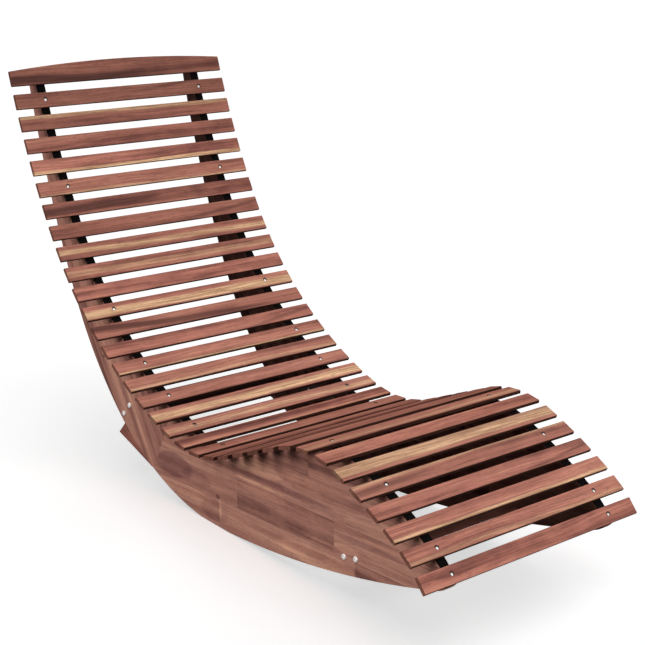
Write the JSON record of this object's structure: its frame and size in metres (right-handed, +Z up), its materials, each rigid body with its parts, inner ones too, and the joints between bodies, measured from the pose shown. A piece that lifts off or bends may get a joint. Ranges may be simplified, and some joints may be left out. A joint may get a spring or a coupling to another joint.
{
  "type": "rocking chaise lounge",
  "caption": "Slatted wooden chaise lounge with a contoured lying surface on two curved side boards that rock on their lower edges, joined by two cross rails.",
  "frame": {"origin": "on the floor, under the middle of the whole length and the middle of the width", "axes": "+X from the head towards the feet, +Y to the side of a lying person's left hand, +Z up"},
  "size_m": [1.4782, 0.6, 0.8986],
  "materials": {
    "slat_wood": "oiled, satin",
    "board_wood": "oiled, satin",
    "stop_wood": "oiled, satin",
    "dowel_wood": "plain beech",
    "webbing": "woven black",
    "plate_paint": "dark brown paint, satin",
    "bolt_steel": "zinc plated",
    "fastener_steel": "zinc plated"
  },
  "bodies": {
    "root": {"slat_01": "slat_wood", "slat_02": "slat_wood", "slat_03": "slat_wood", "slat_04": "slat_wood", "slat_05": "slat_wood", "slat_06": "slat_wood", "slat_07": "slat_wood", "slat_08": "slat_wood", "slat_09": "slat_wood", "slat_10": "slat_wood", "slat_11": "slat_wood", "slat_12": "slat_wood", "slat_13": "slat_wood", "slat_14": "slat_wood", "slat_15": "slat_wood", "slat_16": "slat_wood", "slat_17": "slat_wood", "slat_18": "slat_wood", "slat_19": "slat_wood", "slat_20": "slat_wood", "slat_21": "slat_wood", "slat_22": "slat_wood", "slat_23": "slat_wood", "slat_24": "slat_wood", "slat_25": "slat_wood", "slat_26": "slat_wood", "slat_27": "slat_wood", "slat_28": "slat_wood", "slat_29": "slat_wood", "slat_30": "slat_wood", "slat_31": "slat_wood", "slat_32": "slat_wood", "slat_33": "slat_wood", "slat_34": "slat_wood", "slat_35": "slat_wood", "back_board_left": "board_wood", "back_board_right": "board_wood", "seat_board_left": "board_wood", "seat_board_right": "board_wood", "stop_block_left": "stop_wood", "stop_block_right": "stop_wood", "strap_left": "webbing", "strap_right": "webbing", "hip_plate_left": "plate_paint", "hip_plate_right": "plate_paint", "front_rail": "board_wood", "rear_rail": "board_wood", "hip_dowels": "dowel_wood", "rail_bolts": "bolt_steel", "barrel_nuts": "fastener_steel", "slat_screws": "fastener_steel", "stop_screws": "fastener_steel", "plate_screws": "fastener_steel", "strap_staples": "fastener_steel"}
  },
  "joints": []
}
